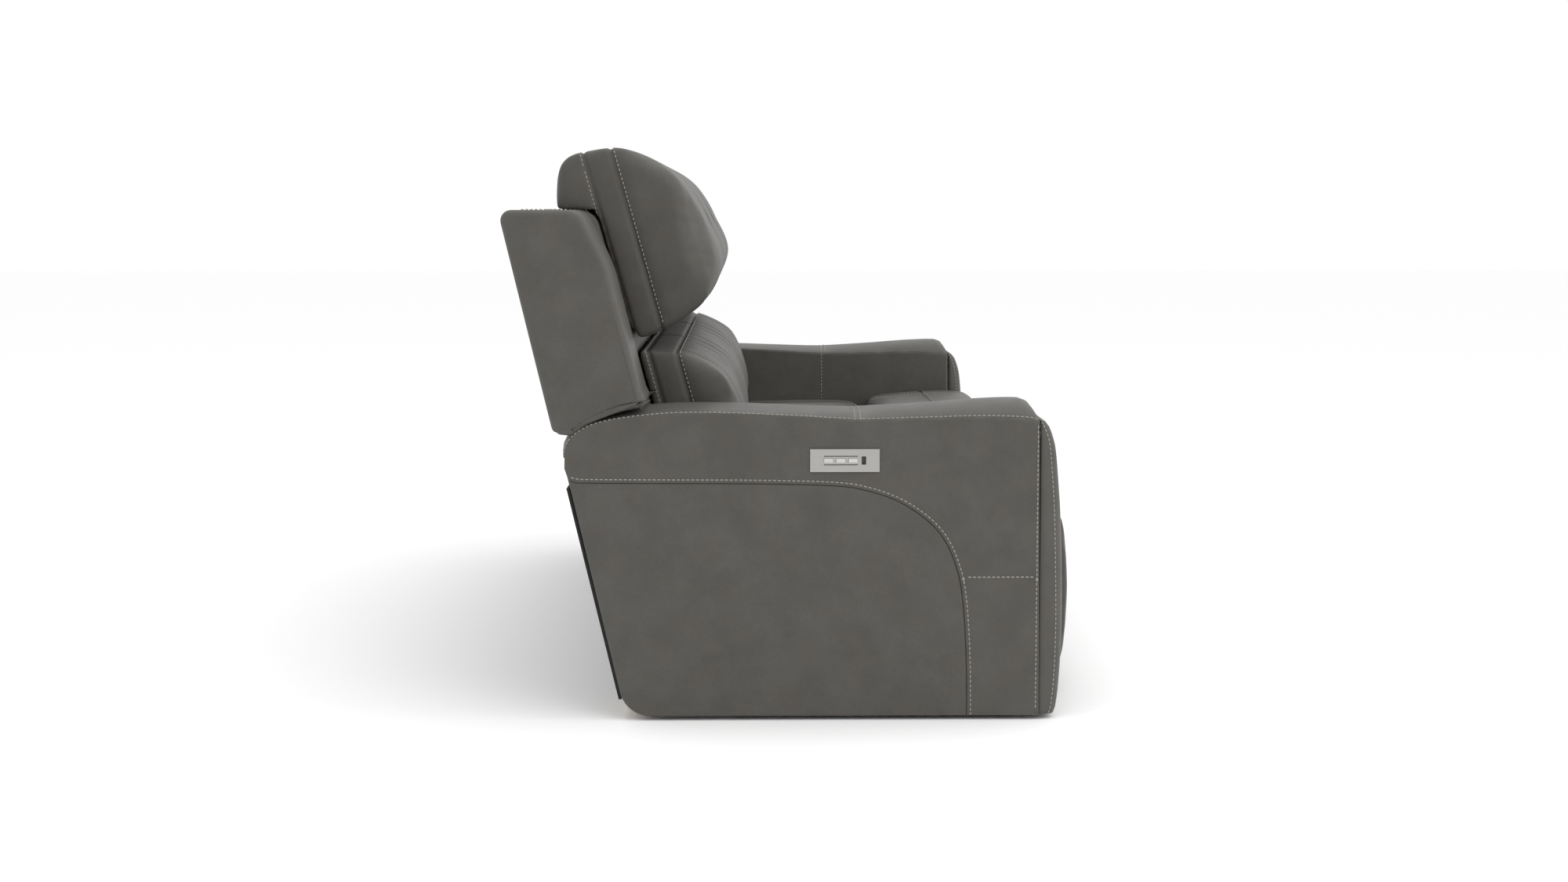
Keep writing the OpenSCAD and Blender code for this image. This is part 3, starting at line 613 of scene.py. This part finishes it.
def on_three_seats(master, name, bodies, nodes):
    """Puts the finished master, made for the middle seat, on each seat."""
    for side, dx in SIDES.items():
        if side not in nodes:
            continue
        piece = copied(master, f"{side}_{name}", dx)
        finish_piece(piece, bodies[side], [nodes[side]])
    bpy.data.objects.remove(master)


def anywhere(_):
    return True


X = Vector((1, 0, 0))
Y = Vector((0, 1, 0))
SLOPE_OUT = Vector((0, -math.cos(LEAN), math.sin(LEAN)))


def at_out(out):
    y, z = on_back(out, 0.8)
    return Vector((0, y, z))


# Depth and width of the channels pressed in along seams, and how far from them the stitches lie.
BAND_PRESS = (0.004, 0.004)
BOX_PRESS = (0.003, 0.004)
PANEL_PRESS = (0.005, 0.006)
SEAM_TO_STITCH = 0.006
PANEL_TO_STITCH = 0.007

# Headrest pillow: a front panel and a rear cap joined by a side band, sewn with two seams.
BAND_REAR, BAND_FRONT = 0.008, 0.062
pillow = stuff(
    "middle_headrest", "pillow_master",
    [lambda c: out_of(c) - BAND_REAR, lambda c: out_of(c) - BAND_FRONT],
    lambda c: out_of(c) < 0.002 and c.z < 0.97, 0.02, 5.0, 0.002)
CAP_Z = BACK_TOP.z + 0.0008
CAP_FREE_Z = 1.02
cap_bottom = min(v.co.z for v in pillow.data.vertices if out_of(v.co) < -0.01)
for v in pillow.data.vertices:
    if out_of(v.co) < 0.004 and v.co.z > BACK_TOP.z:
        rise = (v.co.z - cap_bottom) / (CAP_FREE_Z - cap_bottom)
        if 0 <= rise < 1:
            v.co.z = CAP_Z + (CAP_FREE_Z - CAP_Z) * rise ** 1.7
PILLOW_MID_OUT, PILLOW_MID_UP = 0.085, 0.93
CHIN_ANGLE, CHIN_SPREAD, CHIN_FULL = math.radians(-42), math.radians(24), 0.018
for v in pillow.data.vertices:
    out, up = out_of(v.co) - PILLOW_MID_OUT, up_of(v.co) - PILLOW_MID_UP
    if out > 0:
        full = CHIN_FULL * math.exp(-((math.atan2(up, out) - CHIN_ANGLE) / CHIN_SPREAD) ** 2)
        full *= max(0.0, 1 - (v.co.x / PAD_HALF) ** 6) * min(1.0, out / 0.05)
        away = Vector((out, up)).normalized() * full
        v.co.y += away.y * math.sin(LEAN) - away.x * math.cos(LEAN)
        v.co.z += away.y * math.cos(LEAN) + away.x * math.sin(LEAN)
for offset in (BAND_REAR, BAND_FRONT):
    groove(pillow, lambda c, o=offset: out_of(c) - o, anywhere, *BAND_PRESS)
above_gap = lambda c: up_of(c) > 0.75
sew(pillow, plane_paths(pillow, at_out(BAND_FRONT + SEAM_TO_STITCH), SLOPE_OUT, above_gap)
    + plane_paths(pillow, at_out(BAND_REAR - SEAM_TO_STITCH), SLOPE_OUT, above_gap))
on_three_seats(
    pillow, "headrest",
    {"right": "right_headrest", "middle": "root", "left": "left_headrest"},
    {"right": "right_headrest_pillow", "middle": "middle_headrest", "left": "left_headrest_pillow"})

# Lumbar cushion: a middle panel between two side bolsters, with a side band like the pillow's.
PANEL_HALF = 0.165
LUMBAR_PRESS = (0.007, 0.006)
LUMBAR_REAR, LUMBAR_FRONT = 0.024, 0.077
on_face = lambda c: out_of(c) > LUMBAR_FRONT + 0.004
lumbar = stuff(
    "middle_lumbar", "lumbar_master",
    [lambda c: out_of(c) - LUMBAR_REAR, lambda c: out_of(c) - LUMBAR_FRONT,
     lambda c: abs(c.x) - PANEL_HALF if on_face(c) else 1.0],
    lambda c: out_of(c) < 0.01, 0.016, 5.0)
for offset in (LUMBAR_REAR, LUMBAR_FRONT):
    groove(lumbar, lambda c, o=offset: out_of(c) - o, anywhere, *BAND_PRESS)
groove(lumbar, lambda c: abs(c.x) - PANEL_HALF, on_face, *LUMBAR_PRESS)
sew(lumbar, plane_paths(lumbar, at_out(LUMBAR_FRONT + SEAM_TO_STITCH), SLOPE_OUT, anywhere)
    + plane_paths(lumbar, at_out(LUMBAR_REAR - SEAM_TO_STITCH), SLOPE_OUT, anywhere)
    + [p for x in (PANEL_HALF + PANEL_TO_STITCH, PANEL_HALF - PANEL_TO_STITCH) for s in (-1, 1)
       for p in plane_paths(lumbar, X * s * x, X, on_face)])
on_three_seats(
    lumbar, "lumbar",
    {"right": "right_back", "middle": "root", "left": "left_back"},
    {"right": "right_lumbar_cushion", "middle": "middle_lumbar", "left": "left_lumbar_cushion"})

# Seat cushion: a boxed cushion with its seam round the top.
seat_low, seat_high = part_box("middle_seat_cushion")
BOX_Z = seat_high.z - 0.03
SEAT_PANEL_HALF = PANEL_HALF + 0.03
seat_top = lambda c: c.z > BOX_Z - 0.002
seat = stuff(
    "middle_seat_cushion", "seat_master",
    [lambda c: c.z - BOX_Z, lambda c: abs(c.x) - SEAT_PANEL_HALF if c.z > BOX_Z + 0.01 else 1.0],
    lambda c: c.z < seat_low.z + 0.02, 0.015, 4.0)
groove(seat, lambda c: c.z - BOX_Z, anywhere, *BOX_PRESS)
groove(seat, lambda c: abs(c.x) - SEAT_PANEL_HALF, seat_top, *PANEL_PRESS)
sew(seat, plane_paths(seat, Vector((0, 0, BOX_Z + SEAM_TO_STITCH)), Vector((0, 0, 1)), anywhere)
    + [p for s in (-1, 1) for p in
       plane_paths(seat, X * s * (SEAT_PANEL_HALF + PANEL_TO_STITCH), X, seat_top)])
on_three_seats(
    seat, "seat", {"right": "root", "middle": "root", "left": "root"},
    {"right": "right_seat_cushion", "middle": "middle_seat_cushion", "left": "left_seat_cushion"})

# Chaise pad: one padded roll over the front edge, with two long seams and a cross seam.
chaise_low, chaise_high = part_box("right_chaise_pad")
CROSS_Y = (chaise_low.y + chaise_high.y) / 2
chaise_mid = -SEAT_PITCH


def chaise_piece(node, name, middle_x, low_z):
    front_top = lambda c: c.z > low_z + 0.03 and (
        c.z > chaise_high.z - 0.06 or c.y < chaise_low.y + 0.05)
    edge = lambda c: abs(c.x - middle_x) - SEAT_PANEL_HALF
    piece = stuff(
        node, name,
        [lambda c: edge(c) if front_top(c) else 1.0,
         lambda c: c.y - CROSS_Y if c.z > chaise_high.z - 0.03 else 1.0],
        lambda c: c.z < chaise_high.z - 0.12 and c.y > chaise_low.y + 0.07, 0.014, 4.0)
    groove(piece, edge, front_top, *PANEL_PRESS)
    groove(piece, lambda c: c.y - CROSS_Y, lambda c: c.z > chaise_high.z - 0.04, 0.004, 0.006)
    sew(piece, [p for s in (-1, 1) for p in
                plane_paths(piece, X * (middle_x + s * (SEAT_PANEL_HALF + PANEL_TO_STITCH)), X, front_top)]
        + plane_paths(piece, Y * (CROSS_Y - PANEL_TO_STITCH), Y, lambda c: c.z > chaise_high.z - 0.05))
    return piece


chaise = chaise_piece("right_chaise_pad", "right_chaise", chaise_mid, chaise_low.z)
other = copied(chaise, "left_chaise", 2 * SEAT_PITCH)
finish_piece(chaise, "root", ["right_chaise_pad"])
finish_piece(other, "root", ["left_chaise_pad"])
middle_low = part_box("middle_chaise_pad")[0].z
chaise = chaise_piece("middle_chaise_pad", "middle_chaise", 0.0, middle_low + 0.28)
finish_piece(chaise, "root", ["middle_chaise_pad"])

# Footrest pad.
foot_low, foot_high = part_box("right_footrest_pad")
FOOT_SEAM_Y = foot_low.y + 0.03
foot_front = lambda c: c.y < FOOT_SEAM_Y + 0.002
foot = stuff(
    "right_footrest_pad", "right_footrest",
    [lambda c: c.y - FOOT_SEAM_Y,
     lambda c: abs(c.x - chaise_mid) - SEAT_PANEL_HALF if foot_front(c) else 1.0],
    lambda c: c.y > foot_high.y - 0.012, 0.012, 4.0)
groove(foot, lambda c: c.y - FOOT_SEAM_Y, anywhere, *BOX_PRESS)
groove(foot, lambda c: abs(c.x - chaise_mid) - SEAT_PANEL_HALF, foot_front, *PANEL_PRESS)
sew(foot, plane_paths(foot, Y * (FOOT_SEAM_Y - SEAM_TO_STITCH), Y, anywhere)
    + [p for s in (-1, 1) for p in
       plane_paths(foot, X * (chaise_mid + s * (SEAT_PANEL_HALF + PANEL_TO_STITCH)), X, foot_front)])
other = copied(foot, "left_footrest_cushion", 2 * SEAT_PITCH)
foot.name = "right_footrest_cushion"
finish_piece(foot, "right_footrest", ["right_footrest_pad"])
finish_piece(other, "left_footrest", ["left_footrest_pad"])

# ---- backs: a wing over each arm and a shell behind each seat ----

def arc(r, start, stop, count=12):
    """Points (y, z) on a circle round the recline pivot, angles in degrees above +Y."""
    return [Vector((PIVOT.y + r * math.cos(math.radians(start + (stop - start) * k / count)),
                    PIVOT.z + r * math.sin(math.radians(start + (stop - start) * k / count))))
            for k in range(count + 1)]


REAR_LEAN = math.radians(13.3)
REAR_TOP_Y = 0.5542
WING_ARC_R = 0.2445                            # clears the top of the arm as the back reclines
WING_LIP = 0.026
WING_R = 0.012


def rear_y(z):
    return REAR_TOP_Y - (BACK_TOP.z - z) * math.tan(REAR_LEAN)


def wing_outline():
    bottom = arc(WING_ARC_R, 86, 51)
    low = bottom[-1]
    rear_low = Vector((rear_y(low.y + 0.004), low.y + 0.004))
    top = rounded([(low.x, low.y, 0.014), (rear_low.x, rear_low.y, 0.018),
                   (rear_y(BACK_TOP.z), BACK_TOP.z, 0.020), (0.402, BACK_TOP.z, 0.036),
                   (0.352, 0.858, 0.3), (0.288, 0.618, 0.04),
                   (bottom[0].x, bottom[0].y, 0.016)])
    return bottom[1:-1] + top


wing_line = wing_outline()
wing = soft_slab("right_wing", wing_line, ARM_OUT + 0.001, ARM_IN - 0.002, WING_R, WING_R)
lip = WING_ARC_R + WING_LIP
groove(wing, lambda c: (Vector((c.y, c.z)) - PIVOT.yz).length - lip,
       lambda c: c.z < 0.64, 0.002, 0.004)
left = mirrored(wing, "left_wing")
finish_piece(wing, "right_back", [])
finish_piece(left, "left_back", [])


def shell_outline(low):
    foot = on_back(0, low / math.cos(LEAN))
    return rounded([(rear_y(low), low, 0.01), (rear_y(BACK_TOP.z), BACK_TOP.z, 0.016),
                    (on_back(0, BACK_TOP.z / math.cos(LEAN))[0], BACK_TOP.z, 0.04),
                    (foot[0], low, 0.004)])


for side, dx in SIDES.items():
    low_z = 0.52 if side != "middle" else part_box("middle_back")[0].z
    body = f"{side}_back" if side != "middle" else "root"
    node = f"{side}_back_cover" if side != "middle" else "middle_back"
    line = shell_outline(low_z)
    shell = soft_slab(f"{side}_back_shell", line, dx - PAD_HALF, dx + PAD_HALF, 0.008, 0.008)
    sew(shell, [p for s in (-1, 1) for p in
                plane_paths(shell, X * (dx + s * (PAD_HALF - 0.016)), X,
                            lambda c: c.y > rear_y(c.z) - 0.03 or c.z > BACK_TOP.z - 0.004)])
    finish_piece(shell, body, [node])

# ---- arms ----

FLOOR_GAP = 0.008
ARM_FRONT_Y = -0.459
SIDE_T = 0.03
SIDE_R = 0.0035                                # rim of the side's two panels
ROW_APART = 0.005                              # from the middle of a join to its stitches

# Upper edge of an arm's outer side, from its rear corner forwards to its front.
EDGE = [Vector(p) for p in (
    (0.434, 0.500), (0.431, 0.520), (0.417, 0.541), (0.386, 0.560), (0.345, 0.571),
    (0.290, 0.579), (0.225, 0.584), (0.139, 0.584), (0.060, 0.581), (-0.017, 0.577),
    (-0.110, 0.571), (-0.232, 0.572), (-0.351, 0.574), (-0.440, 0.570), (-0.4545, 0.566))]
# Top of the crown over the same points.
CROWN = [Vector(p) for p in (
    (0.441, 0.503), (0.440, 0.524), (0.425, 0.546), (0.392, 0.566), (0.349, 0.577),
    (0.291, 0.585), (0.224, 0.589), (0.138, 0.589), (0.060, 0.587), (-0.018, 0.585),
    (-0.110, 0.584), (-0.230, 0.591), (-0.350, 0.600), (-0.428, 0.602), (-0.445, 0.592))]
# Edge and crown where the top turns down at its front.
NOSE = [(Vector((-0.456, 0.563)), Vector((-0.451, 0.583))),
        (Vector((-0.457, 0.558)), Vector((-0.4575, 0.570))),
        (Vector((-0.458, 0.553)), Vector((-0.4595, 0.557)))]
ACROSS = 28


def arm_top_piece():
    edge = smooth_path(EDGE)
    crown = smooth_path(CROWN)
    count = 90
    rows = []
    pairs = [(edge[round(k * (len(edge) - 1) / count)], crown[round(k * (len(crown) - 1) / count)])
             for k in range(count + 1)] + NOSE
    middle, half = (ARM_OUT + ARM_IN) / 2, (ARM_IN - ARM_OUT) / 2 - 0.0005
    for k, (e, c) in enumerate(pairs):
        towards = (c - e).normalized() if (c - e).length > 1e-6 else Vector((0, 1))
        row = []
        for i in range(ACROSS + 1):
            u = math.sin(math.pi / 2 * (2 * i / ACROSS - 1))
            rise = (1 - abs(u) ** 2.4) ** 0.62
            p = e.lerp(c, rise)
            row.append(Vector((middle + half * u, p.x, p.y)))
        under = e - towards * 0.022
        row += [Vector((ARM_IN - 0.006, under.x, under.y)), Vector((ARM_OUT + 0.006, under.x, under.y))]
        rows.append(row)
    return loft("right_arm_top_pad", rows)


top = arm_top_piece()
JOIN_Y = -0.114
crown_z = lambda c: c.z > 0.568
groove(top, lambda c: c.y - JOIN_Y, crown_z, 0.002, 0.004)
sew(top, [p for d in (-ROW_APART, ROW_APART) for p in plane_paths(top, Y * (JOIN_Y + d), Y, crown_z)])


# Outer side: an upper band that turns down at the front, and a lower panel inside it.
BAND_SEAM = smooth_path([Vector(p) for p in (
    (-0.322, 0.008), (-0.3215, 0.080), (-0.319, 0.152), (-0.314, 0.220), (-0.305, 0.277),
    (-0.283, 0.335), (-0.250, 0.377), (-0.193, 0.416), (-0.130, 0.438), (-0.070, 0.447),
    (0.083, 0.451), (0.260, 0.452), (0.412, 0.4535), (0.427, 0.4575))], 0.014)
rear_low = lambda z: rear_y(z) - 0.006
CORNER_R = 0.060


def band_outline():
    """Everything of the side above and in front of the seam."""
    upper = smooth_path(EDGE)
    return ([p for p in BAND_SEAM] + [Vector((rear_low(0.48), 0.48))]
            + upper + [Vector((ARM_FRONT_Y, FLOOR_GAP))])


def panel_outline():
    """The side inside the seam, down to the floor gap, with a rounded rear corner."""
    top = BAND_SEAM[-1]
    corner = rounded([(top.x, top.y, 0), (rear_low(FLOOR_GAP), FLOOR_GAP, CORNER_R),
                      (0.10, FLOOR_GAP, 0)], 10)
    return BAND_SEAM[::-1] + [Vector((-0.1, FLOOR_GAP))] + corner[::-1][:-1]


band = soft_slab("right_arm_side_band", band_outline(), ARM_OUT, ARM_OUT + SIDE_T, SIDE_R, 0)
panel = soft_slab("right_arm_side_panel", panel_outline(), ARM_OUT + 0.0005,
                  ARM_OUT + SIDE_T, SIDE_R, 0)
CROSS_Z = 0.2685


def beside(points, by, x):
    """A path beside an open one, `by` to its left."""
    result = []
    for i, p in enumerate(points):
        a = points[max(i - 1, 0)]
        b = points[min(i + 1, len(points) - 1)]
        d = (b - a).normalized()
        result.append(Vector((x, p.x - d.y * by, p.y + d.x * by)))
    return even(result)


sew(band, [beside(BAND_SEAM, 0.007, ARM_OUT),
           even([Vector((ARM_OUT, -0.452, 0.56)), Vector((ARM_OUT, -0.452, 0.012))]),
           even([Vector((ARM_OUT, -0.446, CROSS_Z + ROW_APART)),
                 Vector((ARM_OUT, -0.312, CROSS_Z + ROW_APART))])])
sew(top, [beside(smooth_path(EDGE), -0.007, ARM_OUT)])
groove(band, lambda c: c.z - CROSS_Z, lambda c: c.x < ARM_OUT + 0.004, 0.002, 0.003)


# Front of an arm: a tall crowned pad.
FACE = [Vector(p) for p in (
    (-0.490, 0.010), (-0.4945, 0.021), (-0.499, 0.060), (-0.502, 0.120), (-0.503, 0.180),
    (-0.502, 0.254), (-0.499, 0.369), (-0.496, 0.430), (-0.490, 0.506), (-0.484, 0.535),
    (-0.476, 0.556), (-0.468, 0.566), (-0.461, 0.568))]


def front_pad_piece():
    face = smooth_path(FACE, 0.01)
    middle, half = (ARM_OUT + ARM_IN) / 2, (ARM_IN - ARM_OUT) / 2 - 0.003
    back_y = ARM_FRONT_Y + 0.0005
    rows = []
    for p in face:
        bulge = 0.5 + 0.5 * math.cos(2 * math.pi * (p.y / 0.56 - 0.5))
        row = []
        for i in range(ACROSS + 1):
            u = math.sin(math.pi / 2 * (2 * i / ACROSS - 1))
            deep = (1 - abs(u) ** 14) ** 0.5
            row.append(Vector((middle + half * u, back_y + (p.x - back_y) * deep
                               - 0.006 * bulge * (1 - u * u), p.y)))
        rows.append(row)
    return loft("right_arm_front", rows)


front = front_pad_piece()
RIM_BACK = 0.010
rim_line = lambda x: even([Vector((x, p.x + RIM_BACK, p.y)) for p in smooth_path(FACE, 0.01)])
sew(front, [rim_line(ARM_OUT), rim_line(ARM_IN)])

for piece, nodes, fill in ((top, ["right_arm_top"], 0.85), (band, ["right_arm_band"], None),
                           (panel, ["right_side_panel"], None), (front, ["right_arm_front_pad"], 0.85)):
    twin = mirrored(piece, piece.name.replace("right", "left"))
    finish_piece(piece, "root", nodes)
    finish_piece(twin, "root", [n.replace("right", "left") for n in nodes])

# Inner face of an arm's cover.
SKIRT_LOW = 0.012
for side, way in (("right", 1), ("left", -1)):
    line = smooth_path(EDGE) + [Vector((ARM_FRONT_Y, SKIRT_LOW)), Vector((rear_low(SKIRT_LOW), SKIRT_LOW))]
    skirt = soft_slab(f"{side}_arm_inner", line, ARM_IN - 0.018, ARM_IN, 0, 0.004)
    if way < 0:
        for v in skirt.data.vertices:
            v.co.x = -v.co.x
        skirt.data.flip_normals()
    sew(skirt, [even([Vector((-way * abs(ARM_IN), JOIN_Y + ROW_APART, z)) for z in (0.578, 0.36)])])
    finish_piece(skirt, "root", [])

# ---- floor, light and camera ----

floor_mesh = bpy.data.meshes.new("floor")
FLOOR = 30.0
floor_mesh.from_pydata([(-FLOOR, -FLOOR, 0), (FLOOR, -FLOOR, 0), (FLOOR, FLOOR, 0), (-FLOOR, FLOOR, 0)],
                       [], [(0, 1, 2, 3)])
floor = bpy.data.objects.new("floor", floor_mesh)
bpy.context.scene.collection.objects.link(floor)
floor_mat, floor_shader = new_material("floor")
floor_shader.inputs["Base Color"].default_value = (0.985, 0.985, 0.985, 1)
floor_shader.inputs["Roughness"].default_value = 0.9
floor_shader.inputs["Specular IOR Level"].default_value = 0.1
floor_mesh.materials.append(floor_mat)

world = bpy.data.worlds.new("studio")
bpy.context.scene.world = world
world.use_nodes = True
world.node_tree.nodes["Background"].inputs[0].default_value = (1, 1, 1, 1)
world.node_tree.nodes["Background"].inputs[1].default_value = 1.0


def softbox(name, at, towards, size, power):
    light = bpy.data.lights.new(name, "AREA")
    light.shape = "RECTANGLE"
    light.size, light.size_y = size
    light.energy = power
    obj = bpy.data.objects.new(name, light)
    obj.location = at
    obj.rotation_mode = "QUATERNION"
    obj.rotation_quaternion = (Vector(towards) - Vector(at)).to_track_quat("-Z", "Y")
    bpy.context.scene.collection.objects.link(obj)


softbox("top", (-0.6, -0.4, 4.6), (0, 0, 0.3), (4.5, 4.5), 60)
softbox("side", (-4.6, -2.6, 3.4), (-0.6, 0, 0.5), (3.0, 2.5), 30)
softbox("front", (-1.2, -4.6, 2.6), (0, 0, 0.6), (3.5, 2.5), 30)

camera = bpy.data.cameras.new("camera")
camera.lens = 51.3
camera.sensor_width = 36.0
camera_obj = bpy.data.objects.new("camera", camera)
bpy.context.scene.collection.objects.link(camera_obj)
turn, pitch = math.radians(0.8998), math.radians(5.9195)
look = Vector((math.cos(pitch) * math.cos(turn), -math.cos(pitch) * math.sin(turn), -math.sin(pitch)))
camera_obj.location = (-5.24, 0.089, 0.962)
camera_obj.rotation_mode = "QUATERNION"
camera_obj.rotation_quaternion = look.to_track_quat("-Z", "Y")
bpy.context.scene.camera = camera_obj
bpy.context.scene.view_settings.view_transform = "Standard"
